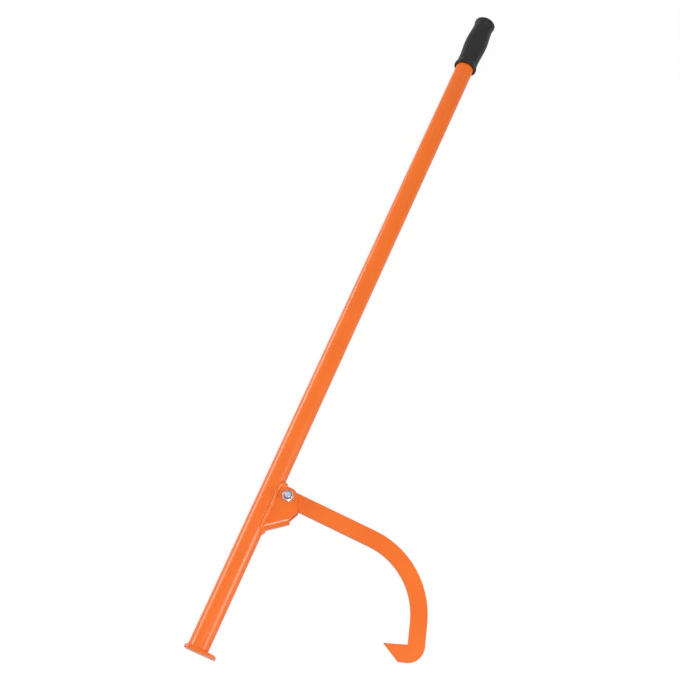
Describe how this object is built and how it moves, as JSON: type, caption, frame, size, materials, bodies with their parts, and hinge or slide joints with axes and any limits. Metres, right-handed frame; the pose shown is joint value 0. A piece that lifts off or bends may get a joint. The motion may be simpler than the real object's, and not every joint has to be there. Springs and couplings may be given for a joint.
{
  "type": "log roller",
  "caption": "Long steel lever for rolling logs: round tube handle with rubber grip and toe plate, and a claw hook that swings on a bolt in a welded bracket.",
  "frame": {"origin": "centre of the tube on the sole of the toe plate", "axes": "+Y along the tube from the toe plate to the grip, +X towards the side that the hook is on, +Z along the pivot bolt towards its nut"},
  "size_m": [0.3218, 1.22, 0.0439],
  "materials": {
    "handle_paint": "glossy orange powder coat on steel tube",
    "grip_rubber": "black moulded rubber, satin, with ring grooves",
    "toe_paint": "glossy orange powder coat on steel plate",
    "toe_weld_paint": "glossy orange powder coat over a weld bead",
    "bracket_paint": "glossy orange powder coat on folded steel plate",
    "bracket_weld_paint": "glossy orange powder coat over weld beads",
    "hook_paint": "glossy orange powder coat on flat steel bar",
    "bolt_zinc": "bright zinc plate",
    "nut_zinc": "bright zinc plate",
    "insert_nylon": "dark nylon ring"
  },
  "bodies": {
    "lever": {"handle_tube": "handle_paint", "hand_grip": "grip_rubber", "toe_plate": "toe_paint", "toe_weld": "toe_weld_paint", "hook_bracket": "bracket_paint", "bracket_welds": "bracket_weld_paint", "pivot_bolt": "bolt_zinc", "lock_nut": "nut_zinc", "nut_insert": "insert_nylon"},
    "swing_hook": {"hook": "hook_paint"}
  },
  "joints": [
    {"name": "hook_pivot", "type": "hinge", "parent": "lever", "child": "swing_hook", "pos_m": [0.03, 0.259, 0], "axis": [0, 0, 1], "range_deg": [-39, 93]}
  ]
}
